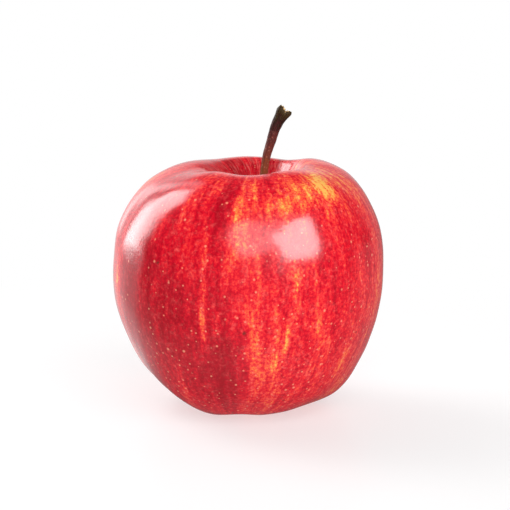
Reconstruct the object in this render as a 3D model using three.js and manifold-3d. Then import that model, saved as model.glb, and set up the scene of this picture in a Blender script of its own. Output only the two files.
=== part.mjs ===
// A ripe dessert apple standing upright on its own base lobes, with its dried stem and calyx.
// Millimetres, +Z up. The origin is the middle of the footprint, on the ground.
import * as THREE from 'three';
import { mergeVertices } from 'three/addons/utils/BufferGeometryUtils.js';
import Module from 'manifold-3d';

const wasm = await Module();
wasm.setup();

// Overall sizes of the fruit, taken on its mean outline.
const fruitRadius = 38;
const fruitHeight = 69.6;
const girthHeight = 34.4; // height of the widest ring
const crownRadius = 17.5; // ring where the shoulders are highest
const cavityDepth = 14.5; // stem cavity, measured down from the crown
const footRadius = 10.6; // ring the five base lobes stand on
const basinDepth = 9.5; // calyx basin, measured up from the base
const flatDepth = 0.5; // how far each base lobe is flattened by the ground

// Unevenness: five lobes round the fruit, and a slower sway that makes one side fuller than the other.
const topRib = 0.4;
const girthRib = 0.25;
const baseRib = 0.75;
const ribTurn = THREE.MathUtils.degToRad(15.1);
const topSway = 0.3;
const girthSway = 0.66;
const baseSway = 1.55;
// Each wave of the sway: waves per turn, share, turn in degrees.
const swayWaves = [
  [1, 0.52, -1],
  [2, 0.8, -19],
  [3, 0.78, 7],
];
const lean = 0.025; // sideways shift of the crown per millimetre of height
const crownTilt = new THREE.Vector2(0.02, 0.017); // slope of the crown along X and along Y
const cavityShift = 2.9; // how far the stem cavity lies to +X of the middle

// The stem: a stalk that starts on the cavity floor, leans to +X and flares at its torn end.
const stemRadius = 1.06;
const stemEndRadius = 2;
const stemReach = 7.6; // how far to the side the torn end stands from the foot of the stalk
const stemRise = 29.5; // height of the torn end above the foot of the stalk

// The dried flower remains in the calyx basin.
const sepalCount = 5;
const sepalRing = 4.3; // radius of the ring the sepals grow from
const sepalLength = 5.2;
const sepalWidth = 3.9;
const sepalThickness = 0.6;
const filamentCount = 9;
const filamentLength = 2.6;
const filamentRadius = 0.24;
const pistilRadius = 1.3;

const seatGap = 0.3; // clearance between a piece and the skin it grows from

// --- Geometry helpers ---

// A closed geometry as a manifold-3d solid.
function toSolid(geometry) {
  const bare = geometry.clone();
  bare.deleteAttribute('normal');
  bare.deleteAttribute('uv');
  const merged = mergeVertices(bare, 1e-4);
  return new wasm.Manifold(new wasm.Mesh({
    numProp: 3,
    vertProperties: merged.attributes.position.array,
    triVerts: new Uint32Array(merged.index.array),
  }));
}

// A manifold-3d solid as a three.js geometry.
function toGeometry(solid) {
  const mesh = solid.getMesh();
  const geometry = new THREE.BufferGeometry();
  geometry.setAttribute('position', new THREE.BufferAttribute(mesh.vertProperties, 3));
  geometry.setIndex(new THREE.BufferAttribute(mesh.triVerts, 1));
  geometry.computeVertexNormals();
  return geometry;
}

// Moves every vertex of a geometry to where place(vertex) puts it.
function reshape(geometry, place) {
  const position = geometry.attributes.position;
  const vertex = new THREE.Vector3();
  for (let i = 0; i < position.count; i += 1) {
    vertex.fromBufferAttribute(position, i);
    place(vertex, i);
    position.setXYZ(i, vertex.x, vertex.y, vertex.z);
  }
  geometry.computeVertexNormals();
  return geometry;
}

// Smooth curve through rows of numbers: a cubic spline whose ends continue as a mirror image across the axis.
// The first number of a row is a radius, so it changes sign in the mirror; the others keep theirs.
function smoothRows(rows, stepsPerSpan) {
  const mirrored = (row) => row.map((value, k) => (k === 0 ? -value : value));
  const withEnds = (list) => [mirrored(list[1]), ...list, mirrored(list[list.length - 2])];
  let controls = rows;
  for (let pass = 0; pass < 60; pass += 1) {
    const around = withEnds(controls);
    controls = rows.map((row, i) => row.map((value, k) => (6 * value - around[i][k] - around[i + 2][k]) / 4));
  }
  const padded = withEnds(controls);
  const curve = [];
  for (let step = 0; step <= (rows.length - 1) * stepsPerSpan; step += 1) {
    const span = Math.min(Math.floor(step / stepsPerSpan), rows.length - 2);
    const t = step / stepsPerSpan - span;
    const weights = [(1 - t) ** 3, 3 * t ** 3 - 6 * t ** 2 + 4, 3 * (t + t ** 2 - t ** 3) + 1, t ** 3];
    curve.push(rows[0].map((_, k) => weights.reduce((sum, w, j) => sum + (w * padded[span + j][k]) / 6, 0)));
  }
  return curve;
}

// --- Fruit ---

// Half outline from the calyx eye down to the foot, up the flank, over the shoulder and into the cavity.
// Each row: radius, height, depth of the five lobes, depth of the sway, share of the cavity's side shift.
const { lerp } = THREE.MathUtils;
const outline = [
  [0, basinDepth, 0, 0, 0],
  [0.3 * footRadius, 0.86 * basinDepth, 0.25 * baseRib, 0, 0],
  [0.62 * footRadius, 0.43 * basinDepth, 0.6 * baseRib, 0, 0],
  [footRadius, 0, baseRib, 0, 0],
  [0.588 * fruitRadius, 0.13 * girthHeight, baseRib, baseSway, 0],
  [0.786 * fruitRadius, 0.34 * girthHeight, lerp(baseRib, girthRib, 0.2), lerp(baseSway, girthSway, 0.2), 0],
  [0.919 * fruitRadius, 0.64 * girthHeight, lerp(baseRib, girthRib, 0.6), lerp(baseSway, girthSway, 0.6), 0],
  [fruitRadius, girthHeight, girthRib, girthSway, 0],
  [0.991 * fruitRadius, 0.696 * fruitHeight, lerp(girthRib, topRib, 0.4), lerp(girthSway, topSway, 0.4), 0],
  [0.919 * fruitRadius, 0.816 * fruitHeight, lerp(girthRib, topRib, 0.8), lerp(girthSway, topSway, 0.8), 0],
  [lerp(crownRadius, fruitRadius, 0.519), 0.942 * fruitHeight, topRib, topSway, 0.1],
  [crownRadius, fruitHeight, topRib, topSway, 0.35],
  [0.7 * crownRadius, fruitHeight - 0.15 * cavityDepth, 0.6 * topRib, 0.6 * topSway, 0.8],
  [0.41 * crownRadius, fruitHeight - 0.52 * cavityDepth, 0.4 * topRib, 0, 1],
  [0.194 * crownRadius, fruitHeight - 0.917 * cavityDepth, 0.1 * topRib, 0, 1],
  [0, fruitHeight - cavityDepth, 0, 0, 1],
];
const stepsPerSpan = 3;
const meridian = smoothRows(outline, stepsPerSpan);

// Outward direction of the meridian at one of its rows.
function outwardAt(index) {
  const before = meridian[Math.max(index - 1, 0)];
  const after = meridian[Math.min(index + 1, meridian.length - 1)];
  if (index === 0) return new THREE.Vector2(0, -1);
  if (index === meridian.length - 1) return new THREE.Vector2(0, 1);
  const along = new THREE.Vector2(after[0] - before[0], after[1] - before[1]).normalize();
  return new THREE.Vector2(along.y, -along.x);
}
const outward = meridian.map((_, index) => outwardAt(index));

const fruitSegments = 60;
const revolved = new THREE.LatheGeometry(
  meridian.map(([radius, height]) => new THREE.Vector2(radius, height)),
  fruitSegments,
);
revolved.rotateX(Math.PI / 2);
const uneven = reshape(revolved, (vertex, i) => {
  const row = i % meridian.length;
  const [radius, height, rib, sway, aside] = meridian[row];
  const angle = Math.atan2(vertex.y, vertex.x);
  const lobes = Math.cos(5 * (angle - ribTurn));
  const slow = swayWaves.reduce(
    (sum, [waves, share, turn]) => sum + share * Math.cos(waves * (angle - THREE.MathUtils.degToRad(turn))),
    0,
  );
  const swell = rib * lobes + sway * slow;
  const reach = radius + outward[row].x * swell;
  const level = height + outward[row].y * swell;
  const x = reach * Math.cos(angle);
  const y = reach * Math.sin(angle);
  const share = THREE.MathUtils.clamp(level / fruitHeight, 0, 1) ** 2;
  vertex.set(
    x + lean * level + aside * cavityShift,
    y,
    level + share * (crownTilt.x * x + crownTilt.y * y),
  );
});

// The fruit settles on the ground: its lobes sink by flatDepth and what lies below the ground is taken off.
uneven.computeBoundingBox();
const settle = new THREE.Vector3(
  -(uneven.boundingBox.min.x + uneven.boundingBox.max.x) / 2,
  -(uneven.boundingBox.min.y + uneven.boundingBox.max.y) / 2,
  -uneven.boundingBox.min.z - flatDepth,
);
uneven.translate(settle.x, settle.y, settle.z);
const groundDepth = 10;
const ground = new THREE.BoxGeometry(4 * fruitRadius, 4 * fruitRadius, groundDepth);
ground.translate(0, 0, -groundDepth / 2);
const fruitGeometry = toGeometry(toSolid(uneven).subtract(toSolid(ground)));

// Where the cavity floor and the calyx eye end up after the lean and the settling.
const cavityLevel = fruitHeight - cavityDepth;
const cavityFloor = new THREE.Vector3(cavityShift + lean * cavityLevel, 0, cavityLevel).add(settle);
const calyxEye = new THREE.Vector3(lean * basinDepth, 0, basinDepth).add(settle);

// Height of the basin skin above the ground at a distance from the calyx eye.
function basinHeight(distance) {
  const next = meridian.findIndex((row) => row[0] > distance);
  const [inner, outer] = [meridian[next - 1], meridian[next]];
  const share = (distance - inner[0]) / (outer[0] - inner[0]);
  return lerp(inner[1], outer[1], share) + settle.z;
}

// --- Stem ---

// The line the stalk follows, from its foot on the cavity floor to the middle of the torn end.
const stemFoot = cavityFloor.clone().add(new THREE.Vector3(0, 0, seatGap + 0.2));
const stemStations = [
  [0, 0],
  [0.13, 0.17],
  [0.25, 0.385],
  [0.35, 0.55],
  [0.525, 0.705],
  [0.655, 0.82],
  [0.79, 0.9],
  [1, 1],
];
const stemLine = new THREE.CatmullRomCurve3(
  stemStations.map(([side, up]) => new THREE.Vector3(side * stemReach, 0, up * stemRise).add(stemFoot)),
);

// Thickness along the stalk: a slight swelling at the foot, an even shaft and a flared end.
// Each row: share of the length, radius.
const stemWidths = [
  [0, 0.75 * stemRadius],
  [0.02, 1.05 * stemRadius],
  [0.2, 0.98 * stemRadius],
  [0.4, stemRadius],
  [0.55, 1.1 * stemRadius],
  [0.7, 1.25 * stemRadius],
  [0.82, 0.55 * stemRadius + 0.42 * stemEndRadius],
  [0.92, 0.35 * stemRadius + 0.65 * stemEndRadius],
  [0.98, stemEndRadius],
  [1, 0.85 * stemEndRadius],
];
const stemSegments = 18;
const tornStart = 0.9; // share of the stalk's length where the ragged end begins
const stalk = new THREE.LatheGeometry(
  [
    new THREE.Vector2(0, 0),
    ...stemWidths.map(([along, radius]) => new THREE.Vector2(radius, along)),
    new THREE.Vector2(0, 0.985),
  ],
  stemSegments,
);
stalk.rotateX(Math.PI / 2);
const sideways = new THREE.Vector3(0, 1, 0);
const stemGeometry = reshape(stalk, (vertex) => {
  const { x, y } = vertex;
  const along = THREE.MathUtils.clamp(vertex.z, 0, 1);
  const angle = Math.atan2(y, x);
  const ridges = 1 + 0.05 * Math.cos(3 * angle) + 0.035 * Math.cos(5 * angle + 6 * along);
  const direction = stemLine.getTangentAt(along);
  const across = new THREE.Vector3().crossVectors(sideways, direction);
  const radius = Math.hypot(x, y);
  const tornShare = Math.max(along - tornStart, 0) / (1 - tornStart);
  const ragged = tornShare * radius * (0.22 * Math.cos(3 * angle + 0.9) - 0.16 * Math.cos(angle));
  vertex.copy(stemLine.getPointAt(along))
    .addScaledVector(across, x * ridges)
    .addScaledVector(sideways, y * ridges)
    .addScaledVector(direction, ragged);
});

// --- Calyx ---

// A dried sepal: a thin blade that hangs from the basin skin, closes in on the eye and curls out at its tip.
// The blade is drawn with its width along X, its length along Y and its thickness along Z.
function sepalGeometry(turn, curl, stretch) {
  const blade = new THREE.BoxGeometry(1, 1, 1, 4, 9, 1);
  const hang = basinHeight(sepalRing + sepalThickness / 2) - seatGap;
  return reshape(blade, (vertex) => {
    const along = vertex.y + 0.5;
    const width = sepalWidth * (0.06 + 0.94 * (1 - along) ** 0.85) * (1 - 0.25 * (1 - along) ** 4);
    const cup = 0.5 * (2 * vertex.x) ** 2 * (1 - along);
    const inward = 1.5 * Math.sin(Math.PI * Math.min(along * 1.25, 1)) - curl * along ** 3;
    const distance = sepalRing - inward - cup + vertex.z * sepalThickness * (1 - 0.5 * along);
    const across = -vertex.x * width;
    const height = hang - along * sepalLength * stretch;
    vertex.set(
      calyxEye.x + distance * Math.cos(turn) - across * Math.sin(turn),
      calyxEye.y + distance * Math.sin(turn) + across * Math.cos(turn),
      height,
    );
  });
}

// The dried stamens: filaments spread from the stump of the flower tube, each with a shrivelled anther.
function stamensGeometry() {
  const tuftTop = calyxEye.z - seatGap - 0.35;
  const stumpHeight = 1.1;
  const stump = new THREE.CylinderGeometry(pistilRadius, 0.8 * pistilRadius, stumpHeight, 12);
  stump.rotateX(Math.PI / 2);
  stump.translate(calyxEye.x, calyxEye.y, tuftTop - stumpHeight / 2);
  let tuft = toSolid(stump);
  for (let i = 0; i < filamentCount; i += 1) {
    const turn = (2 * Math.PI * i) / filamentCount;
    const lengthHere = filamentLength * (1 - 0.18 * (i % 3));
    const filament = new THREE.CylinderGeometry(filamentRadius, 0.7 * filamentRadius, lengthHere, 6);
    const anther = new THREE.SphereGeometry(1.7 * filamentRadius, 6, 4);
    anther.scale(1, 1.5, 1);
    anther.translate(0, -lengthHere / 2, 0);
    const spread = new THREE.Matrix4().makeTranslation(calyxEye.x, calyxEye.y, tuftTop - stumpHeight / 2)
      .multiply(new THREE.Matrix4().makeRotationZ(turn))
      .multiply(new THREE.Matrix4().makeTranslation(0.62 * pistilRadius, 0, 0))
      .multiply(new THREE.Matrix4().makeRotationY(0.06 + 0.05 * (i % 2)))
      .multiply(new THREE.Matrix4().makeTranslation(0, 0, -lengthHere / 2))
      .multiply(new THREE.Matrix4().makeRotationX(Math.PI / 2));
    for (const piece of [filament, anther]) tuft = tuft.add(toSolid(piece.applyMatrix4(spread)));
  }
  return toGeometry(tuft);
}

// --- Assembly ---

const skin = new THREE.MeshStandardMaterial({ color: 0xb8141f, roughness: 0.28, metalness: 0 });
const bark = new THREE.MeshStandardMaterial({ color: 0x5a2f22, roughness: 0.7, metalness: 0 });
const dried = new THREE.MeshStandardMaterial({ color: 0x6b5a45, roughness: 0.9, metalness: 0 });
const tuftBrown = new THREE.MeshStandardMaterial({ color: 0x4a3626, roughness: 0.95, metalness: 0 });

const apple = new THREE.Group();
apple.name = 'apple';

function place(name, geometry, material) {
  const mesh = new THREE.Mesh(geometry, material);
  mesh.name = name;
  apple.add(mesh);
}

place('fruit', fruitGeometry, skin);
place('stem', stemGeometry, bark);
for (let i = 0; i < sepalCount; i += 1) {
  const turn = ribTurn + (2 * Math.PI * (i + 0.5)) / sepalCount;
  const curl = 1.2 + 0.5 * Math.cos(2.4 * i);
  const stretch = 1 - 0.1 * (i % 2);
  place(`sepal_${i + 1}`, sepalGeometry(turn, curl, stretch), dried);
}
place('stamens', stamensGeometry(), tuftBrown);

export default apple;
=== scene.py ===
import bpy
import numpy as np
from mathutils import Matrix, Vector


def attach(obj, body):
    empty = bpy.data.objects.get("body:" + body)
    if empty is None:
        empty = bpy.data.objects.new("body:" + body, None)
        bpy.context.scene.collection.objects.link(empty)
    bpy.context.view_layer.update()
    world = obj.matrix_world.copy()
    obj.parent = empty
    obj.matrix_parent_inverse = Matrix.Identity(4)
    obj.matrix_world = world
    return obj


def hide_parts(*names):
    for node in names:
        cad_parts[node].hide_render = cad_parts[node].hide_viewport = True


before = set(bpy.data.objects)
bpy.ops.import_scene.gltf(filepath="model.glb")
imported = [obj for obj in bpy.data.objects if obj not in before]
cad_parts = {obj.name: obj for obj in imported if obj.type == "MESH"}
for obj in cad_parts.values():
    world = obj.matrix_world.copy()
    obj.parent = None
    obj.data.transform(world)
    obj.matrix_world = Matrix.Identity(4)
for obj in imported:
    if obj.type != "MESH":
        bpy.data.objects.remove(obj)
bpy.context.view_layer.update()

# --- Fruit ---
# The ripe fruit: one natural body of firm flesh under a thin waxed skin. It keeps the hollow where the stem
# grew, and it stands on the small flats of the five low lobes that ring its dried flower. The skin is crimson
# laid in streaks over a yellow ground, with pale breathing pores.

mm = 0.001
fruit_radius = 38.0
fruit_height = 69.6
girth_height = 34.4
crown_radius = 17.5
cavity_depth = 14.5
foot_radius = 10.6
basin_depth = 9.5
flat_depth = 0.5
foot_fill = 0.55
pleat_depth, pucker_depth = 0.07, 0.35
dent_depth, ripple_depth = 0.09, 0.05
top_rib, girth_rib, base_rib = 0.4, 0.25, 0.75
top_sway, girth_sway, base_sway = 0.3, 0.66, 1.55
rib_turn = np.radians(15.1)
sway_waves = ((1, 0.52, -1), (2, 0.8, -19), (3, 0.78, 7))
lean = 0.025
crown_tilt = (0.02, 0.017)
cavity_shift = 2.9
# Bands along the outline, which runs from 0 at the calyx eye to 1 at the cavity floor: the places where each
# begins, is full, begins to fade and is gone.
basin_band = (0.012, 0.045, 0.07, 0.13)
foot_band = (0.06, 0.1, 0.14, 0.22)
cavity_band = (0.8, 0.9, 0.96, 1.0)


def between(start, end, share):
    """The value a share of the way from start to end: start + (end - start) * share."""
    return start + (end - start) * share


def soft_step(value, low, high):
    """0 below low, 1 above high, and 3t^2 - 2t^3 between, where t runs from 0 at low to 1 at high."""
    t = np.clip((value - low) / (high - low), 0, 1)
    return t * t * (3 - 2 * t)


def in_band(value, begins, full, fades, gone):
    """0 outside a band and 1 inside it: one soft step up, times one soft step down."""
    return soft_step(value, begins, full) * (1 - soft_step(value, fades, gone))


# Half outline from the calyx eye down to the foot, up the flank, over the shoulder and into the cavity.
# Columns: radius, height, depth of the five lobes, depth of the sway, share of the cavity's side shift.
outline = np.array([
    (0, basin_depth, 0, 0, 0),
    (0.3 * foot_radius, 0.86 * basin_depth, 0.25 * base_rib, 0, 0),
    (0.62 * foot_radius, 0.43 * basin_depth, 0.6 * base_rib, 0, 0),
    (foot_radius, 0, base_rib, 0, 0),
    (0.588 * fruit_radius, 0.13 * girth_height, base_rib, base_sway, 0),
    (0.786 * fruit_radius, 0.34 * girth_height, between(base_rib, girth_rib, 0.2),
     between(base_sway, girth_sway, 0.2), 0),
    (0.919 * fruit_radius, 0.64 * girth_height, between(base_rib, girth_rib, 0.6),
     between(base_sway, girth_sway, 0.6), 0),
    (fruit_radius, girth_height, girth_rib, girth_sway, 0),
    (0.991 * fruit_radius, 0.696 * fruit_height, between(girth_rib, top_rib, 0.4),
     between(girth_sway, top_sway, 0.4), 0),
    (0.919 * fruit_radius, 0.816 * fruit_height, between(girth_rib, top_rib, 0.8),
     between(girth_sway, top_sway, 0.8), 0),
    (between(crown_radius, fruit_radius, 0.519), 0.942 * fruit_height, top_rib, top_sway, 0.1),
    (crown_radius, fruit_height, top_rib, top_sway, 0.35),
    (0.7 * crown_radius, fruit_height - 0.15 * cavity_depth, 0.6 * top_rib, 0.6 * top_sway, 0.8),
    (0.41 * crown_radius, fruit_height - 0.52 * cavity_depth, 0.4 * top_rib, 0, 1),
    (0.194 * crown_radius, fruit_height - 0.917 * cavity_depth, 0.1 * top_rib, 0, 1),
    (0, fruit_height - cavity_depth, 0, 0, 1),
])


def smooth_rows(rows, count):
    """A cubic B-spline through all the rows, read at count places evenly spaced along its length. Its control
    rows solve (before + 4 * here + after) / 6 = row, and it goes on past both ends as its mirror image in the
    axis, so the radius changes sign there and the other columns don't."""
    last = len(rows) - 1
    mirror = np.ones(rows.shape[1])
    mirror[0] = -1
    controls = np.empty_like(rows)
    for column, sign in enumerate(mirror):
        system = 4 * np.eye(last + 1) + np.eye(last + 1, k=1) + np.eye(last + 1, k=-1)
        system[0, 1] += sign
        system[-1, -2] += sign
        controls[:, column] = np.linalg.solve(system, 6 * rows[:, column])
    padded = np.vstack([controls[1] * mirror, controls, controls[-2] * mirror])

    def at(place):
        span = np.minimum(place.astype(int), last - 1)
        t = (place - span)[:, None]
        weights = ((1 - t) ** 3, 3 * t**3 - 6 * t**2 + 4, 3 * (t + t**2 - t**3) + 1, t**3)
        return sum(weight * padded[span + k] for k, weight in enumerate(weights)) / 6

    dense = np.linspace(0, last, 4000)
    steps = np.linalg.norm(np.diff(at(dense)[:, :2], axis=0), axis=1)
    length = np.concatenate([[0], np.cumsum(steps)])
    return at(np.interp(np.linspace(0, length[-1], count), length, dense)), length[-1]


def fruit_form(rows, angles):
    """The fruit as one grid of points, in millimetres. A half outline is turned about Z; each point then
    moves out along the outline's normal by rib * cos 5(angle - turn) + sway * (a sum of three slow waves), by
    fine pleats in the cavity, by the puckers of the basin and by shallow dents. On the foot the furrows
    between the lobes are partly filled: cos 5(angle - turn) goes a share of the way to 1. The whole leans by
    lean * height, and its crown tilts with the square of the height. Returns the points, and how far each row
    lies along the outline from 0 to 1."""
    curve, length = smooth_rows(outline, rows)
    radius, height, rib, sway, aside = (column[:, None] for column in curve.T)
    tangent = np.gradient(curve[:, :2], axis=0)
    tangent[[0, -1], 1] = 0
    tangent /= np.linalg.norm(tangent, axis=1)[:, None]
    out_r, out_z = tangent[:, 1:2], -tangent[:, 0:1]
    along = np.linspace(0, 1, rows)[:, None]
    angle = angles[None, :]
    lobes = np.cos(5 * (angle - rib_turn))
    slow_waves = sum(share * np.cos(k * (angle - np.radians(turn))) for k, share, turn in sway_waves)
    swell = rib * between(lobes, 1, foot_fill * in_band(along, *foot_band)) + sway * slow_waves
    pleats = 0.55 * np.cos(13 * angle + 0.7) + 0.45 * np.cos(22 * angle + 2.1 * np.cos(angle)) \
        + 0.3 * np.cos(37 * angle + 1.3)
    swell = swell + pleat_depth * in_band(along, *cavity_band) * pleats
    puckers = np.abs(np.sin(5 * (angle - rib_turn) / 2)) - 0.6 + 0.3 * np.cos(15 * angle + 1.0)
    swell = swell + pucker_depth * in_band(along, *basin_band) * puckers
    reach = radius + out_r * swell
    level = height + out_z * swell
    x, y = reach * np.cos(angle), reach * np.sin(angle)
    dents = dent_depth * np.sin(0.21 * x + 0.13 * level + 1.1) * np.sin(0.17 * y - 0.11 * level + 0.4)
    ripples = ripple_depth * np.sin(0.45 * x - 0.37 * y + 0.2 * level) * np.sin(0.41 * level + 0.3 * y + 2.0)
    off_axis = soft_step(radius, 2, 12)
    uneven = off_axis * (dents + ripples)
    x = x + uneven * out_r * np.cos(angle)
    y = y + uneven * out_r * np.sin(angle)
    level = level + uneven * out_z
    tilt = np.clip(level / fruit_height, 0, 1) ** 2
    points = np.stack([
        x + lean * level + aside * cavity_shift,
        y,
        level + tilt * (crown_tilt[0] * x + crown_tilt[1] * y),
    ], axis=-1)
    return points, along


def poled(grid):
    """A grid as one run of values, row after row, where the first and last rows count once each."""
    return np.concatenate([grid[:1, 0], grid[1:-1].reshape(-1, *grid.shape[2:]), grid[-1:, 0]])


def closed_faces(rows, columns, first):
    """Faces of a poled grid whose points are numbered from first: a fan round each pole, and a four-sided
    face wherever two neighbouring rows cross two neighbouring columns."""
    ring = np.arange(columns)
    after = (ring + 1) % columns
    row = first + 1 + columns * np.arange(rows - 3)[:, None]
    quads = np.stack([row + ring, row + after, row + columns + after, row + columns + ring], axis=-1)
    last_row = first + 1 + columns * (rows - 3)
    pole = last_row + columns
    start_fan = np.stack([np.full(columns, first), first + 1 + after, first + 1 + ring], axis=-1)
    end_fan = np.stack([last_row + ring, last_row + after, np.full(columns, pole)], axis=-1)
    return start_fan.tolist() + quads.reshape(-1, 4).tolist() + end_fan.tolist()


def closed_skin(name, grids, **marks):
    """One smooth mesh from closed grids of points, in millimetres. In each grid the first and last rows are
    one pole each, rows run from pole to pole and columns run round. Each mark is a list of grids of values,
    kept on the mesh as a named attribute."""
    faces, first = [], 0
    for grid in grids:
        rows, columns = grid.shape[:2]
        faces += closed_faces(rows, columns, first)
        first += (rows - 2) * columns + 2
    mesh = bpy.data.meshes.new(name)
    mesh.from_pydata((np.concatenate([poled(grid) for grid in grids]) * mm).tolist(), [], faces)
    mesh.polygons.foreach_set("use_smooth", np.ones(len(faces), dtype=bool))
    for mark, values in marks.items():
        values = np.concatenate([poled(grid) for grid in values])
        vector = values.ndim == 2
        attribute = mesh.attributes.new(mark, "FLOAT_VECTOR" if vector else "FLOAT", "POINT")
        attribute.data.foreach_set("vector" if vector else "value", values.ravel().astype(np.float32))
    mesh.update()
    piece = bpy.data.objects.new(name, mesh)
    bpy.context.scene.collection.objects.link(piece)
    return piece


fruit_rows, fruit_columns = 290, 320
fruit_angles = np.linspace(0, 2 * np.pi, fruit_columns, endpoint=False)
fruit_points, fruit_along = fruit_form(fruit_rows, fruit_angles)
low, high = fruit_points.min(axis=(0, 1)), fruit_points.max(axis=(0, 1))
settle = np.array([-(low[0] + high[0]) / 2, -(low[1] + high[1]) / 2, -low[2] - flat_depth])
fruit_points = fruit_points + settle
# What would go below the table is levelled off, which gives each lobe the small flat that it stands on.
fruit_points[..., 2] = np.maximum(fruit_points[..., 2], 0)

# Where the red blush is thin and the yellow ground shows, and where it is deep (negative strength). A
# few rows paint light and shade instead, as marked below.
# Columns: angle in degrees, place along the outline, half width in degrees, half length, strength.
streaks_and_painted_shading = np.array([
    (-44, 0.745, 11, 0.038, 0.46),
    (-41, 0.735, 4, 0.035, 0.25),
    (-57, 0.72, 5, 0.035, 0.3),
    (-30, 0.785, 12, 0.025, 0.25),
    (-75, 0.695, 6, 0.04, 0.32),
    (-66, 0.74, 2, 0.05, 0.12),
    (-87, 0.745, 2, 0.045, 0.3),
    (-95, 0.685, 3, 0.055, 0.3),
    (-93, 0.63, 3, 0.035, 0.25),
    (-108, 0.765, 3, 0.03, 0.28),
    (-112, 0.72, 1.6, 0.03, 0.25),
    (-85, 0.575, 2.5, 0.04, 0.15),
    (-85, 0.41, 2.2, 0.11, 0.26),
    (-81, 0.33, 4, 0.05, 0.18),
    (-72, 0.415, 1.5, 0.035, 0.42),
    (-69, 0.5, 1.8, 0.06, 0.24),
    (-68.5, 0.55, 1, 0.025, 0.28),
    (-76, 0.35, 3, 0.04, 0.18),
    (-71, 0.26, 2.5, 0.04, 0.22),
    (-64, 0.46, 1, 0.03, 0.15),
    (-58, 0.45, 1, 0.03, 0.2),
    (-107.5, 0.47, 1.2, 0.09, 0.5),
    (-101, 0.45, 1.5, 0.03, 0.3),
    (-131, 0.64, 3, 0.04, 0.15),
    (-115, 0.32, 2, 0.03, 0.12),
    (-46, 0.4, 1.6, 0.03, 0.12),
    (-37, 0.33, 3, 0.03, 0.12),
    (-65, 0.75, 36, 0.06, 0.1),
    (-76, 0.36, 14, 0.14, 0.04),
    # Cavity rows: a painted reflection on the right wall, painted shade on the back and left walls.
    (20, 0.88, 35, 0.04, 0.2),
    (100, 0.88, 60, 0.05, -0.14),
    (-150, 0.88, 40, 0.04, -0.1),
    # Deeper crimson on the left flank, partly painted shade where it lies between the lamps.
    (-128, 0.5, 20, 0.25, -0.16),
    (-104, 0.75, 9, 0.05, -0.12),
    (-106, 0.33, 14, 0.1, -0.12),
    (-28, 0.6, 7, 0.08, -0.14),
    (-103, 0.7, 6, 0.06, -0.12),
    (-100, 0.32, 8, 0.12, -0.18),
    (-92, 0.27, 5, 0.07, -0.16),
    (-117, 0.4, 6, 0.08, -0.1),
    (-27, 0.58, 6, 0.06, -0.12),
    (-145, 0.48, 14, 0.24, -0.2),
])
# The far side's streaks, drawn by chance in the same columns.
chance = np.random.default_rng(7)
far_streak_count = 90
far_streaks = np.column_stack([
    chance.uniform(0, 200, far_streak_count),
    chance.uniform(0.2, 0.8, far_streak_count),
    chance.uniform(1, 5, far_streak_count),
    chance.uniform(0.02, 0.09, far_streak_count),
    chance.choice([-0.14, 0.16, 0.28, 0.4], far_streak_count, p=[0.35, 0.35, 0.2, 0.1]),
])


def blush_thinness(angles, along):
    """How far the yellow ground shows through, about 0 to 1: a sum of long bell-shaped streaks, each
    strength * exp(-(turn / half width)^2 - (step / half length)^2), over slow waves round the fruit, and
    more ground in the basin. A few streaks are painted light and shade instead: a painted reflection on the
    cavity's right wall, and painted shade on its back and left walls and on the front of the left flank."""
    degrees = np.degrees(angles)[None, :]
    total = 0.37 + 0.07 * np.cos(angles + 0.9) + 0.04 * np.cos(3 * angles + 0.6) \
        + 0.03 * np.cos(7 * angles + 2.0)
    total = total[None, :] + 0.4 * (1 - soft_step(along, 0.05, 0.15))
    for centre, place, half_width, half_length, strength in np.vstack([streaks_and_painted_shading, far_streaks]):
        turn = (degrees - centre + 180) % 360 - 180
        total = total + strength * np.exp(-(turn / half_width) ** 2 - ((along - place) / half_length) ** 2)
    return total


# Small healed nicks in the skin: angle in degrees, place along the outline, radius in millimetres.
nicks = ((-90, 0.437, 0.65), (-128, 0.575, 0.5), (-33, 0.41, 0.4), (37, 0.63, 0.9), (112, 0.33, 0.7),
         (158, 0.69, 0.5), (-64, 0.245, 0.4))


def nick_depth(angles, along, points):
    """How deep each point lies in a nick, 0 to 1: the sum of exp(-(distance / radius)^2) over the nicks."""
    total = np.zeros(points.shape[:2])
    for degrees, place, radius in nicks:
        row = np.argmin(np.abs(along[:, 0] - place))
        column = np.argmin(np.abs(np.angle(np.exp(1j * (angles - np.radians(degrees))))))
        total += np.exp(-np.sum((points - points[row, column]) ** 2, axis=-1) / radius**2)
    return total


thinness = blush_thinness(fruit_angles, fruit_along)
nicked = nick_depth(fruit_angles, fruit_along, fruit_points)
grain_place = np.stack(np.broadcast_arrays(
    np.cos(fruit_angles)[None, :], np.sin(fruit_angles)[None, :], 4 * fruit_along), axis=-1)
fruit = closed_skin("apple_fruit", [fruit_points], thinness=[thinness], grain=[grain_place], nick=[nicked],
                    along=[np.broadcast_to(fruit_along, thinness.shape)])


def brush(tree, kind, inputs=None, **settings):
    """Adds one node to a material: makes its settings, then sets each input to a value or links it to another
    node's socket."""
    node = tree.nodes.new(kind)
    for key, value in settings.items():
        setattr(node, key, value)
    for key, value in (inputs or {}).items():
        socket = node.inputs[key]
        if isinstance(value, bpy.types.NodeSocket):
            tree.links.new(value, socket)
        else:
            socket.default_value = value
    return node


def finish(name, roughness, **sockets):
    """A new material with one Principled surface. Its sockets get these plain values, which hold until a
    pattern is linked to them."""
    material = bpy.data.materials.new(name)
    material.use_nodes = True
    tree = material.node_tree
    surface = next(node for node in tree.nodes if node.type == "BSDF_PRINCIPLED")
    surface.inputs["Roughness"].default_value = roughness
    for key, value in sockets.items():
        surface.inputs[key.replace("_", " ")].default_value = value
    return material, tree, surface


def mathed(tree, operation, first, second, third=None, clamp=False):
    """The result of one sum, product or comparison of two or three values or sockets."""
    inputs = {0: first, 1: second}
    if third is not None:
        inputs[2] = third
    return brush(tree, "ShaderNodeMath", inputs, operation=operation, use_clamp=clamp).outputs[0]


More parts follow.
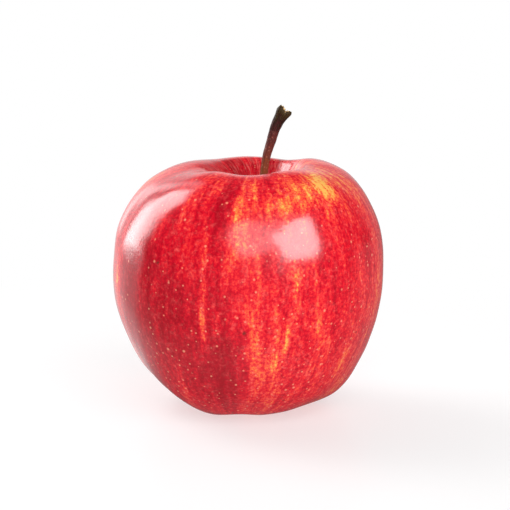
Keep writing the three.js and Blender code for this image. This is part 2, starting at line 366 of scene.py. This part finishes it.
def swung(tree, value, amount, onto, clamp=False):
    """onto + (value - 0.5) * amount, which lets a pattern from 0 to 1 move a value both ways."""
    return mathed(tree, "MULTIPLY_ADD", mathed(tree, "SUBTRACT", value, 0.5), amount, onto, clamp)


def mapped(tree, value, low, high, at_low, at_high, course="LINEAR"):
    """A value that runs from at_low to at_high while the given one runs from low to high, and stops there."""
    inputs = {"Value": value, "From Min": low, "From Max": high, "To Min": at_low, "To Max": at_high}
    return brush(tree, "ShaderNodeMapRange", inputs, interpolation_type=course).outputs[0]


def coated(tree, share, under, over):
    """One colour under another that covers this share of it. A Mix node's colours are its inputs 6 and 7, and
    its output 2."""
    return brush(tree, "ShaderNodeMix", {0: share, 6: under, 7: over}, data_type="RGBA").outputs[2]


def graded(tree, value, stops):
    """A colour ramp: each stop is a place from 0 to 1 and a linear red, green and blue."""
    ramp = brush(tree, "ShaderNodeValToRGB", {"Fac": value})
    elements = ramp.color_ramp.elements
    while len(elements) < len(stops):
        elements.new(1.0)
    for element, (place, colour) in zip(elements, stops):
        element.position = place
        element.color = (*colour, 1.0)
    return ramp.outputs["Color"]


def noise(tree, vector, scale, detail, roughness, distortion=0.0):
    """Cloudy noise from 0 to 1, at this many features for each unit of the vector."""
    return brush(tree, "ShaderNodeTexNoise", {
        "Vector": vector, "Scale": scale, "Detail": detail, "Roughness": roughness, "Distortion": distortion,
    }).outputs["Fac"]


def fibres(tree, vector, scale, detail, roughness, distortion):
    """Cloudy noise drawn out into fibres: the vector is first multiplied by the scale, part by part."""
    drawn_out = brush(tree, "ShaderNodeMapping", {"Vector": vector, "Scale": scale}).outputs["Vector"]
    return noise(tree, drawn_out, 1.0, detail, roughness, distortion)


def mark(tree, name, part="Fac"):
    """The value, or with "Vector" the vector, that the mesh carries under this name."""
    return brush(tree, "ShaderNodeAttribute", attribute_name=name).outputs[part]


def emboss(tree, surface, height, strength, depth):
    """Gives a surface the relief of a pattern, this deep in metres."""
    relief = brush(tree, "ShaderNodeBump", {"Height": height, "Strength": strength, "Distance": depth})
    tree.links.new(relief.outputs["Normal"], surface.inputs["Normal"])


skin, tree, surface = finish("apple_skin", 0.25, IOR=1.45, Specular_IOR_Level=0.75, Subsurface_Weight=0.06,
                             Subsurface_Scale=0.002)
surface.inputs["Subsurface Radius"].default_value = (1.0, 0.2, 0.12)
place = brush(tree, "ShaderNodeTexCoord").outputs["Object"]
grain = mark(tree, "grain", "Vector")
# The blush's thinness, with painted light and shade in the cavity and on the left flank.
thin = mark(tree, "thinness")
down = mark(tree, "along")
mottle = noise(tree, place, 1150.0, 5.0, 0.66)
speckle = swung(tree, mottle, 1.15, 0.0)
# Each layer of grain: how many features round and along, how much it moves the blush, its detail.
for scale, weight, detail in (
    ((3.5, 3.5, 0.8), 0.6, 2),
    ((10, 10, 1.6), 0.92, 4),
    ((30, 30, 9), 0.6, 4),
    ((64, 64, 36), 0.28, 3),
):
    speckle = swung(tree, fibres(tree, grain, scale, detail, 0.62, 0.5), weight, speckle)
ripe_and_painted_shading = mathed(tree, "MULTIPLY_ADD", speckle, mathed(tree, "ADD", thin, 0.55), thin)
blush_and_painted_shading = graded(tree, ripe_and_painted_shading, (
    (0.0, (0.34, 0.002, 0.01)),
    (0.2, (0.47, 0.003, 0.015)),
    (0.4, (0.68, 0.006, 0.02)),
    (0.55, (0.81, 0.027, 0.031)),
    (0.7, (0.87, 0.1, 0.042)),
    (0.85, (0.91, 0.25, 0.05)),
    (1.0, (0.93, 0.48, 0.1)),
))
# Pores: large and sparse all over, and small ones that grow closer towards the base. Each cell of the pattern
# keeps or drops its pore, and gives it a size, by its own chance.
small_kept = mapped(tree, down, 0.35, 0.75, 0.7, 0.175)
pores = 0.0
for scale, size, test, limit in (
    (380.0, 0.18, "GREATER_THAN", 0.45),
    (560.0, 0.215, "LESS_THAN", small_kept),
):
    cells = brush(tree, "ShaderNodeTexVoronoi", {"Vector": place, "Scale": scale})
    chances = brush(tree, "ShaderNodeSeparateColor", {"Color": cells.outputs["Color"]})
    kept = mathed(tree, test, chances.outputs["Red"], limit)
    reach = mathed(tree, "MULTIPLY_ADD", chances.outputs["Green"], 0.6 * size, 0.5 * size)
    edge = mathed(tree, "SUBTRACT", 1.0, mathed(tree, "DIVIDE", cells.outputs["Distance"], reach), clamp=True)
    pore = mathed(tree, "MULTIPLY", mathed(tree, "MULTIPLY", edge, 1.6, clamp=True), kept)
    pores = mathed(tree, "MAXIMUM", pore, pores)
pores = mathed(tree, "MULTIPLY", pores, 0.65)
# Pale flecks, more of them where the blush is thin, and pale fibres that run down the cavity wall like the
# spokes of a wheel.
flecks = mapped(tree, noise(tree, place, 620.0, 5.0, 0.75, 0.6), 0.5, 0.72, 0.0, 0.32)
flecks = mathed(tree, "MULTIPLY", flecks, mapped(tree, ripe_and_painted_shading, 0.0, 0.6, 0.25, 1.0))
spokes = mapped(tree, fibres(tree, grain, (30, 30, 7), 4, 0.7, 0.3), 0.48, 0.7, 0.0, 0.5)
in_cavity = mapped(tree, down, 0.78, 0.86, 0.0, 1.0)
pale = mathed(tree, "MULTIPLY_ADD", spokes, in_cavity, flecks)
fleck_colour = (0.9, 0.26, 0.22, 1.0)
pore_colour = (0.9, 0.36, 0.22, 1.0)
scar_colour = (0.11, 0.025, 0.018, 1.0)
dotted = coated(tree, pores, coated(tree, pale, blush_and_painted_shading, fleck_colour), pore_colour)
# Russet, the dull corky skin: a trace in the palest mottle and most of the cavity floor round the stalk. Over
# it lies the brown of the healed nicks.
deep = mapped(tree, down, 0.935, 0.985, -0.25, 1.1)
corky = swung(tree, mottle, 1.6, deep, clamp=True)
russet = graded(tree, mottle, ((0.3, (0.2, 0.11, 0.03)), (0.6, (0.42, 0.3, 0.09)), (0.75, (0.5, 0.42, 0.12))))
nick = mark(tree, "nick")
healed = mapped(tree, nick, 0.25, 0.75, 0.0, 0.8)
skin_colour = coated(tree, healed, coated(tree, corky, dotted, russet), scar_colour)
tree.links.new(skin_colour, surface.inputs["Base Color"])
# The wax is a little duller where the mottle is pale, and the russet has none.
waxed = mathed(tree, "MULTIPLY_ADD", mottle, 0.18, 0.08)
tree.links.new(mathed(tree, "MULTIPLY_ADD", corky, 0.45, waxed), surface.inputs["Roughness"])
peel = mathed(tree, "MULTIPLY_ADD", nick, -1.5, noise(tree, place, 1300.0, 2.0, 0.5))
emboss(tree, surface, mathed(tree, "MULTIPLY_ADD", pores, 0.6, peel), 0.3, 0.0001)
fruit.data.materials.append(skin)
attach(fruit, "root")
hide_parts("fruit")

# --- Stem ---
# The dried stalk that the fruit hung by: a tough woody twig rising from the floor of the stem cavity. Its
# thin bark is ridged lengthwise, green-brown low down and darker towards the swollen end, where it tore off
# the spur and left pale broken fibres.

# The stalk's foot clears the cavity floor by the gap that every seated piece has, and by play for the
# uneven floor.
seat_gap, foot_play = 0.3, 0.2
floor_height = fruit_height - cavity_depth
stem_foot = settle + (cavity_shift + lean * floor_height, 0, floor_height + seat_gap + foot_play)
stem_radius, stem_end_radius = 1.06, 2.0
stem_reach, stem_rise = 7.8, 29.8
torn_start = 0.9
# Stations of the stalk's middle line: share of the reach, share of the rise.
stem_stations = np.array([(0, 0), (0.13, 0.17), (0.25, 0.385), (0.35, 0.55), (0.525, 0.705), (0.655, 0.82),
                          (0.79, 0.9), (1, 1)]) * (stem_reach, stem_rise)
# Thickness along the stalk: share of its length, radius. The curve through them draws the length out.
width_draw = 20
stem_widths = np.array([
    (0, 0.75 * stem_radius),
    (0.02, 1.05 * stem_radius),
    (0.2, 0.98 * stem_radius),
    (0.4, stem_radius),
    (0.55, 1.1 * stem_radius),
    (0.7, 1.25 * stem_radius),
    (0.82, between(stem_radius, stem_end_radius, 0.42)),
    (0.92, between(stem_radius, stem_end_radius, 0.68)),
    (0.98, stem_end_radius),
    (1, 0.88 * stem_end_radius),
])


def curve_through(stations, count):
    """Evenly spaced points of a smooth curve through the stations. Between two of them it is the cubic
    (2t^3 - 3t^2 + 1) a + (t^3 - 2t^2 + t) slope_a + (3t^2 - 2t^3) b + (t^3 - t^2) slope_b, where the slope at
    a station is the mean of the slopes either side, each weighted by the other's length."""
    steps = np.diff(stations, axis=0)
    gaps = np.sqrt(np.linalg.norm(steps, axis=1))[:, None]
    chords = steps / gaps
    middle = (chords[:-1] * gaps[1:] + chords[1:] * gaps[:-1]) / (gaps[1:] + gaps[:-1])
    slopes = np.vstack([chords[:1], middle, chords[-1:]])
    knots = np.concatenate([[0], np.cumsum(gaps)])
    dense = np.linspace(0, knots[-1], 3000)
    span = np.clip(np.searchsorted(knots, dense, side="right") - 1, 0, len(steps) - 1)
    gap = gaps[span]
    t = (dense - knots[span])[:, None] / gap
    points = (2 * t**3 - 3 * t**2 + 1) * stations[span] + (t**3 - 2 * t**2 + t) * gap * slopes[span] \
        + (3 * t**2 - 2 * t**3) * stations[span + 1] + (t**3 - t**2) * gap * slopes[span + 1]
    run = np.concatenate([[0], np.cumsum(np.linalg.norm(np.diff(points, axis=0), axis=1))])
    even = np.linspace(0, run[-1], count)
    return np.stack([np.interp(even, run, column) for column in points.T], axis=-1)


def stalk_form(angles):
    """The stalk as a closed grid. Rows cross the foot, climb the bark and cross the torn end. The radius is
    width * (1 + 0.05 cos 3a + 0.035 cos(5a + 6 along) + finer ridges + a lip on one side), and past the torn
    start each fibre reaches further or less far along the stalk: three low peaks round the rim, two grooves
    across the end, and splinters. Returns the points, the share of the length and how far across the torn end
    each row lies."""
    foot_rows, bark_rows, end_rows = 5, 230, 22
    foot, wall = np.linspace(0, 1, foot_rows)[:-1], np.linspace(0, 1, bark_rows)
    end = np.linspace(1, 0, end_rows)[1:]
    along = np.concatenate([np.zeros(len(foot)), wall, np.ones(len(end))])[:, None]
    across = np.concatenate([foot, np.ones(len(wall)), end])[:, None]
    inside = np.concatenate([np.zeros(len(foot) + len(wall)), 1 - end])[:, None]
    line = curve_through(stem_stations, 400)
    slope = np.gradient(line, axis=0)
    slope /= np.linalg.norm(slope, axis=1)[:, None]
    places = np.linspace(0, 1, len(line))
    line_x, line_z, slope_x, slope_z = (np.interp(along, places, column) for column in (*line.T, *slope.T))
    widths = curve_through(stem_widths * (width_draw, 1), 600)
    width = np.interp(along * width_draw, widths[:, 0], widths[:, 1])
    angle = angles[None, :]
    ridges = 0.05 * np.cos(3 * angle) + 0.035 * np.cos(5 * angle + 6 * along) \
        + 0.018 * np.cos(11 * angle + 3 * np.sin(7 * along)) + 0.012 * np.cos(19 * angle - 9 * along + 1.0) \
        + 0.016 * np.sin(38 * along + 2 * np.sin(angle)) * np.sin(2 * angle + 11 * along) \
        + 0.012 * np.sin(83 * along + 3 * np.cos(angle + 1.0))
    torn = np.clip((along - torn_start) / (1 - torn_start), 0, 1)
    lip = 0.14 * torn * np.exp(-(np.angle(np.exp(1j * (angle - 0.1))) / 0.55) ** 2)
    radius = width * across * (1 + ridges + lip)
    side, front = np.cos(angle) * across, np.sin(angle) * across
    groove = 0.75 * np.exp(-((side - 0.3) / 0.24) ** 2) + 0.35 * np.exp(-((side + 0.25) / 0.12) ** 2)
    splinters = 0.1 * np.abs(np.sin(6 * angle + 4 * side)) + 0.07 * np.sin(13 * angle + 2.0) \
        + 0.06 * np.sin(9 * side + 7 * front) * np.sin(8 * front - 5 * side + 1.0)
    ragged = torn * width * (0.16 * np.cos(3 * angle + 0.9) * across - 0.12 * side - 0.3 * groove
                             + splinters + 0.05) - 0.22 * width * inside * (1 - 0.5 * side)
    reach_along = ragged * np.where(inside > 0, 1, torn)
    x = line_x + slope_z * radius * np.cos(angle) + slope_x * reach_along
    z = line_z - slope_x * radius * np.cos(angle) + slope_z * reach_along
    points = np.stack([x, radius * np.sin(angle), z], axis=-1) + stem_foot
    return points, along, inside


stem_columns = 72
stem_angles = np.linspace(0, 2 * np.pi, stem_columns, endpoint=False)
stem_points, stem_along, stem_inside = stalk_form(stem_angles)
stem_shape = stem_points.shape[:2]
fibre_place = np.stack(np.broadcast_arrays(
    np.cos(stem_angles)[None, :], np.sin(stem_angles)[None, :], 3 * stem_along), axis=-1)
stem = closed_skin("apple_stem", [stem_points], grain=[fibre_place],
                   along=[np.broadcast_to(stem_along, stem_shape)],
                   inside=[np.broadcast_to(stem_inside, stem_shape)])

bark, tree, surface = finish("stem_bark", 0.6, IOR=1.45, Specular_IOR_Level=0.15)
place = brush(tree, "ShaderNodeTexCoord").outputs["Object"]
up = mark(tree, "along")
ridged = fibres(tree, mark(tree, "grain", "Vector"), (5, 5, 1.4), 5, 0.68, 0.4)
patches = noise(tree, place, 420.0, 4.0, 0.65)
bark_colour = graded(tree, swung(tree, patches, 0.45, swung(tree, ridged, 0.6, up)), (
    (0.2, (0.17, 0.085, 0.016)),
    (0.4, (0.2, 0.055, 0.018)),
    (0.55, (0.14, 0.03, 0.02)),
    (0.7, (0.1, 0.02, 0.016)),
    (0.82, (0.05, 0.01, 0.009)),
    (0.93, (0.022, 0.008, 0.004)),
    (1.0, (0.05, 0.03, 0.008)),
))
cells = brush(tree, "ShaderNodeTexVoronoi", {"Vector": place, "Scale": 1100.0}).outputs["Distance"]
specks = mapped(tree, cells, 0.12, 0.36, 0.5, 0.0)
below_end = mapped(tree, up, 0.68, 0.82, 1.0, 0.0)
speck_colour = (0.42, 0.17, 0.12, 1.0)
speckled = coated(tree, mathed(tree, "MULTIPLY", specks, below_end), bark_colour, speck_colour)
bare_wood = graded(tree, ridged, (
    (0.3, (0.1, 0.05, 0.015)),
    (0.45, (0.5, 0.3, 0.12)),
    (0.6, (0.85, 0.66, 0.4)),
))
torn_open = mapped(tree, mark(tree, "inside"), 0.0, 0.08, 0.0, 1.0)
tree.links.new(coated(tree, torn_open, speckled, bare_wood), surface.inputs["Base Color"])
tree.links.new(mathed(tree, "MULTIPLY_ADD", patches, 0.4, 0.4), surface.inputs["Roughness"])
emboss(tree, surface, mathed(tree, "MULTIPLY_ADD", patches, 0.6, ridged), 0.7, 0.0003)
stem.data.materials.append(bark)
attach(stem, "root")
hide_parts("stem")

# --- Sepals ---
# The five dried leaves of the flower, which stay on the fruit: papery, woolly blades that hang in the calyx
# basin from its skin, lean in over the eye and curl out at their tips.

sepal_count = 5
sepal_ring, sepal_length, sepal_width, sepal_thickness = 4.3, 5.2, 3.9, 0.6
calyx_eye = settle + (lean * basin_depth, 0, basin_depth)
# The basin's wall lies in the first 60 of 400 even steps along the outline. The sepals hang just below it.
wall_radius, wall_height = smooth_rows(outline, 400)[0][:60, :2].T
hang_height = np.interp(sepal_ring + sepal_thickness / 2, wall_radius, wall_height) + settle[2] - seat_gap


def sepal_form(turn, curl, stretch, twist):
    """One sepal as a closed grid, from the edge it hangs by to its tip. Its width falls from full to a point,
    width * (0.06 + 0.94 (1 - s)^0.85); the section is a flat oval, cupped by 0.5 (2u)^2 (1 - s); the blade
    leans in by 1.5 sin(pi min(1.25 s, 1)) and curls out by curl * s^3. Veins ripple it and its margins are
    wavy. Returns the points, the share of the length and the share of the width."""
    hung_rows, blade_rows, tip_rows, columns = 5, 35, 4, 48
    s = np.concatenate([[0], np.linspace(0, 1, hung_rows + blade_rows + tip_rows), [1]])[:, None]
    hung_edge = np.sin(np.linspace(0.25, 1, hung_rows) * np.pi / 2)
    tip_edge = np.sin(np.linspace(1, 0.3, tip_rows) * np.pi / 2)
    open_share = np.concatenate([[0], hung_edge, np.ones(blade_rows), tip_edge, [0]])[:, None]
    angle = np.linspace(0, 2 * np.pi, columns, endpoint=False)[None, :]
    u, v = -0.5 * np.cos(angle) * open_share, 0.5 * np.sin(angle) * open_share
    width = sepal_width * (0.06 + 0.94 * (1 - s) ** 0.85) * (1 - 0.25 * (1 - s) ** 4)
    width = width * (1 + 0.05 * np.sin(17 * s + 2 * np.sign(u) + twist) + 0.03 * np.sin(31 * s + twist))
    veins = 0.07 * np.cos(2 * np.pi * 4 * u) * (1 - s) + 0.04 * np.cos(2 * np.pi * 9 * u + 5 * s + twist)
    ripple = 0.12 * np.sin(9 * s + 5 * u + twist) * (s * (1 - s) * 4) + 0.1 * twist * u * s
    cup = 0.5 * (2 * u) ** 2 * (1 - s)
    inward = 1.5 * np.sin(np.pi * np.minimum(1.25 * s, 1)) - curl * s**3
    distance = sepal_ring - inward - cup + v * sepal_thickness * (1 - 0.5 * s) \
        + (veins + ripple) * soft_step(s, 0.05, 0.25)
    across = -u * width
    points = np.stack([
        calyx_eye[0] + distance * np.cos(turn) - across * np.sin(turn),
        calyx_eye[1] + distance * np.sin(turn) + across * np.cos(turn),
        np.broadcast_to(hang_height - s * sepal_length * stretch, distance.shape),
    ], axis=-1)
    return points, np.broadcast_to(s, distance.shape), u


dried_leaf, tree, surface = finish("dried_sepal", 0.9, IOR=1.4, Specular_IOR_Level=0.3, Sheen_Weight=0.12,
                                   Sheen_Roughness=0.6)
blade = mark(tree, "blade", "Vector")
place = brush(tree, "ShaderNodeTexCoord").outputs["Object"]
veined = fibres(tree, blade, (22, 3, 1), 4, 0.6, 0.3)
wool = noise(tree, place, 2600.0, 5.0, 0.75, 0.5)
to_tip = brush(tree, "ShaderNodeSeparateXYZ", {"Vector": blade}).outputs["Y"]
shade = mathed(tree, "MULTIPLY_ADD", veined, 1.5, mathed(tree, "MULTIPLY_ADD", wool, 1.1, -0.85))
shade = mathed(tree, "MULTIPLY_ADD", to_tip, -0.18, shade)
leaf_colour = graded(tree, shade, (
    (0.2, (0.05, 0.024, 0.01)),
    (0.4, (0.16, 0.09, 0.035)),
    (0.52, (0.27, 0.18, 0.08)),
    (0.7, (0.5, 0.4, 0.24)),
))
tree.links.new(leaf_colour, surface.inputs["Base Color"])
tree.links.new(mathed(tree, "MULTIPLY_ADD", wool, 0.25, 0.72), surface.inputs["Roughness"])
emboss(tree, surface, mathed(tree, "MULTIPLY_ADD", wool, 0.8, veined), 0.8, 0.0002)

for index in range(sepal_count):
    sepal_turn = rib_turn + 2 * np.pi * (index + 0.5) / sepal_count
    sepal_curl = 1.2 + 0.5 * np.cos(2.4 * index)
    sepal_points, sepal_along, sepal_across = sepal_form(
        sepal_turn, sepal_curl, 1 - 0.1 * (index % 2), 1.3 * np.sin(1.7 * index + 0.4))
    blade_place = np.stack([sepal_across, sepal_along, np.full(sepal_along.shape, index)], axis=-1)
    sepal = closed_skin(f"apple_sepal_{index + 1}", [sepal_points], blade=[blade_place])
    sepal.data.materials.append(dried_leaf)
    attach(sepal, "root")
    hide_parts(f"sepal_{index + 1}")

# --- Stamens ---
# The withered middle of the flower: a short woody stump with nine dry threads, each ending in a shrivelled
# pollen sac of two lobes.

thread_count = 9
thread_length, thread_radius = 2.6, 0.24
stump_radius, stump_height = 1.3, 1.1
# The tuft clears the eye by the seat gap, and by room for the puckers.
pucker_room = 0.35
tuft_top = calyx_eye[2] - seat_gap - pucker_room


def swept(line, radii, angles, lobes):
    """A closed grid round a line that runs mostly downwards: a ring at each point of the line, of that
    point's radius * (1 + lobes * cos 2a), with a pole at each end."""
    radius = radii[:, None] * (1 + lobes[:, None] * np.cos(2 * angles[None, :]))
    ring = np.stack([radius * np.cos(angles), -radius * np.sin(angles), np.zeros(radius.shape)], axis=-1)
    return ring + line[:, None, :]


def thread_form(index):
    """One thread and its pollen sac: the line drops by its length, wanders sideways by a few tenths of a
    millimetre, and swells near its end as sqrt(1 - t^2), with t running from -1 to 1 along the sac."""
    turn = 2 * np.pi * index / thread_count
    length = thread_length * (1 - 0.18 * (index % 3))
    s = np.concatenate([[0], np.linspace(0, 1, 40), [1]])
    t = (s - 0.9) / 0.17
    sac = np.sqrt(np.clip(1 - t**2, 0, None))
    radii = thread_radius * (np.maximum(1 - 0.35 * s, 0) + 1.15 * sac)
    radii = radii * (1 + 0.12 * np.sin(23 * s + 2 * index))
    radii[[0, -1]] = 0
    radii[-2] *= 0.6
    inwards = length * s * (0.06 + 0.05 * (index % 2))
    outwards = 0.62 * stump_radius - inwards + 0.14 * np.sin(4 * s + index) * s
    sideways = 0.16 * np.sin(5 * s + 2.1 * index) * s
    line = np.stack([
        calyx_eye[0] + outwards * np.cos(turn) - sideways * np.sin(turn),
        calyx_eye[1] + outwards * np.sin(turn) + sideways * np.cos(turn),
        tuft_top - stump_height / 2 - length * s,
    ], axis=-1)
    return swept(line, radii, np.linspace(0, 2 * np.pi, 14, endpoint=False), 0.22 * sac)


stump_along = np.concatenate([[0], np.linspace(0, 1, 16), [1]])
stump_radii = stump_radius * (1 - 0.2 * stump_along) * (1 + 0.06 * np.sin(14 * stump_along))
stump_radii[[0, -1]] = 0
stump_radii[[1, -2]] *= 0.86
stump_line = np.tile(calyx_eye, (len(stump_along), 1))
stump_line[:, 2] = tuft_top - stump_height * stump_along
stump_angles = np.linspace(0, 2 * np.pi, 40, endpoint=False)
stump = swept(stump_line, stump_radii, stump_angles, np.full(len(stump_along), 0.04))
stamens = closed_skin("apple_stamens", [stump] + [thread_form(index) for index in range(thread_count)])

withered, tree, surface = finish("dried_stamens", 0.95, IOR=1.4, Specular_IOR_Level=0.3)
place = brush(tree, "ShaderNodeTexCoord").outputs["Object"]
crumbs = noise(tree, place, 3200.0, 5.0, 0.7)
patches = noise(tree, place, 700.0, 3.0, 0.6)
shade = mathed(tree, "MULTIPLY_ADD", patches, 0.6, mathed(tree, "MULTIPLY", crumbs, 0.4))
dry_colour = graded(tree, shade, (
    (0.3, (0.02, 0.012, 0.007)),
    (0.5, (0.075, 0.04, 0.018)),
    (0.7, (0.2, 0.13, 0.06)),
))
tree.links.new(dry_colour, surface.inputs["Base Color"])
tree.links.new(mathed(tree, "MULTIPLY_ADD", crumbs, 0.2, 0.78), surface.inputs["Roughness"])
emboss(tree, surface, crumbs, 0.8, 0.00015)
stamens.data.materials.append(withered)
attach(stamens, "root")
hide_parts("stamens")

# --- Ground, light and camera ---
# A pale studio table in a white surround. Tall soft lamps behind on the left and two in front give the waxed
# skin its highlights, and two large ones fill the shade without showing in it.

half = 6.0
ground_corners = [(-half, -half, 0), (half, -half, 0), (half, half, 0), (-half, half, 0)]
ground_mesh = bpy.data.meshes.new("ground")
ground_mesh.from_pydata(ground_corners, [], [(0, 1, 2, 3)])
ground = bpy.data.objects.new("ground", ground_mesh)
bpy.context.scene.collection.objects.link(ground)
table, tree, surface = finish("pale_table", 0.35, IOR=1.45)
surface.inputs["Base Color"].default_value = (0.9, 0.875, 0.88, 1.0)
spot = brush(tree, "ShaderNodeTexCoord").outputs["Object"]
spot_parts = brush(tree, "ShaderNodeSeparateXYZ", {"Vector": spot})
spot_x, spot_y = spot_parts.outputs["X"], spot_parts.outputs["Y"]
distance = brush(tree, "ShaderNodeVectorMath", {0: spot}, operation="LENGTH").outputs["Value"]
rays = brush(tree, "ShaderNodeLightPath")
seen, mirrored = rays.outputs["Is Camera Ray"], rays.outputs["Is Glossy Ray"]
# Mirrored in the skin, the table is a painted glow: bright behind the fruit, dark in front of it and
# dimmer on the right, with a painted shadow under the fruit.
aside = mathed(tree, "ABSOLUTE", spot_x, 0.0)
back = mathed(tree, "MULTIPLY_ADD", aside, -0.3, spot_y)
lit = mapped(tree, back, -0.09, 0.02, 0.05, 0.8, "SMOOTHSTEP")
open_share = mapped(tree, distance, 0.02, 0.06, 0.2, 1.0, "SMOOTHSTEP")
left_share = mapped(tree, spot_x, 0.0, 0.05, 1.0, 0.3, "SMOOTHSTEP")
mirror_glow = mathed(tree, "MULTIPLY", lit, mathed(tree, "MULTIPLY", open_share, left_share))
strength = mathed(tree, "MULTIPLY_ADD", mirrored, mathed(tree, "SUBTRACT", mirror_glow, 1.0), 1.0)
glow = brush(tree, "ShaderNodeEmission", {"Color": (1, 1, 1, 1), "Strength": strength})
# Seen directly, it takes the fruit's soft shadow close by and fades to plain white further off.
far = mapped(tree, distance, 0.03, 0.2, 0.56, 1.0, "SMOOTHSTEP")
glow_share = mathed(tree, "MAXIMUM", far, mathed(tree, "SUBTRACT", 1.0, seen))
blend = brush(tree, "ShaderNodeMixShader", {0: glow_share, 1: surface.outputs[0], 2: glow.outputs[0]})
output = next(node for node in tree.nodes if node.type == "OUTPUT_MATERIAL")
tree.links.new(blend.outputs[0], output.inputs["Surface"])
ground.data.materials.append(table)

world = bpy.data.worlds.new("studio")
bpy.context.scene.world = world
world.use_nodes = True
tree = world.node_tree
surround = next(node for node in tree.nodes if node.type == "BACKGROUND")
surround.inputs["Color"].default_value = (1, 1, 1, 1)
direction = brush(tree, "ShaderNodeTexCoord").outputs["Generated"]
parts = brush(tree, "ShaderNodeSeparateXYZ", {"Vector": direction})
rays = brush(tree, "ShaderNodeLightPath")
seen, mirrored = rays.outputs["Is Camera Ray"], rays.outputs["Is Glossy Ray"]
# The room lights from behind. In the skin it shows as a backdrop, low and dimmer on the right.
room = mapped(tree, parts.outputs["Y"], -0.3, 0.6, 0.05, 0.8, "SMOOTHSTEP")
backdrop = mapped(tree, parts.outputs["Y"], 0.5, 0.9, 0.0, 0.8, "SMOOTHSTEP")
below_top = mapped(tree, parts.outputs["Z"], 0.35, 0.6, 1.0, 0.1, "SMOOTHSTEP")
left_share = mapped(tree, parts.outputs["X"], 0.1, 0.4, 1.0, 0.4, "SMOOTHSTEP")
backdrop = mathed(tree, "MULTIPLY", mathed(tree, "MULTIPLY", backdrop, below_top), left_share)
level = mathed(tree, "MULTIPLY_ADD", mathed(tree, "SUBTRACT", backdrop, room), mirrored, room)
tree.links.new(mathed(tree, "MAXIMUM", level, seen), surround.inputs["Strength"])


def soft_lamp(name, azimuth, elevation, distance, width, height, radiance, on_matt, in_gloss):
    """A rectangular lamp that faces the fruit's middle, from an azimuth counted from +Y towards +X. Its power
    is radiance * area * pi, so the lamp's face keeps one brightness whatever its size. It may light only the
    matt colour, or only show in the gloss."""
    lamp = bpy.data.lights.new(name, "AREA")
    lamp.shape = "RECTANGLE"
    lamp.size, lamp.size_y = width, height
    lamp.energy = radiance * width * height * np.pi
    turn, rise = np.radians(azimuth), np.radians(elevation)
    middle = Vector((0, 0, 0.035))
    away = Vector((np.sin(turn) * np.cos(rise), np.cos(turn) * np.cos(rise), np.sin(rise)))
    holder = bpy.data.objects.new(name, lamp)
    holder.location = middle + distance * away
    holder.rotation_euler = away.to_track_quat("Z", "Y").to_euler()
    holder.visible_diffuse, holder.visible_glossy = on_matt, in_gloss
    bpy.context.scene.collection.objects.link(holder)


# Azimuth, elevation, distance; width, height; radiance; whether it falls on the matt colour and whether it
# shows in the gloss.
soft_lamp("left_lamp", -58, 27, 0.9, 0.42, 0.9, 4.7, True, True)
soft_lamp("left_glow", -58, 25, 0.95, 0.54, 1.24, 1.8, True, True)
soft_lamp("left_side_lamp", -26, 24, 0.9, 0.16, 0.95, 1.3, True, True)
soft_lamp("front_lamp", 137, 26, 1.1, 0.66, 0.76, 8.9, False, True)
soft_lamp("front_sheen", 174, 35, 1.1, 0.55, 0.7, 2.6, False, True)
soft_lamp("front_fill", 160, 30, 1.1, 1.2, 1.2, 3.6, True, False)
soft_lamp("left_fill", -70, 12, 1.1, 0.8, 0.8, 1.0, True, False)

camera_data = bpy.data.cameras.new("camera")
camera_data.lens = 114.7
camera_data.sensor_width = 36.0
camera_data.clip_start = 0.01
camera_data.clip_end = 60.0
camera = bpy.data.objects.new("camera", camera_data)
bpy.context.scene.collection.objects.link(camera)
camera.location = (0.0, -0.456, 0.1292)
look_at = Vector((0.002, 0.0, 0.0441))
camera.rotation_euler = (look_at - camera.location).to_track_quat("-Z", "Y").to_euler()
bpy.context.scene.camera = camera
bpy.context.scene.view_settings.view_transform = "Standard"
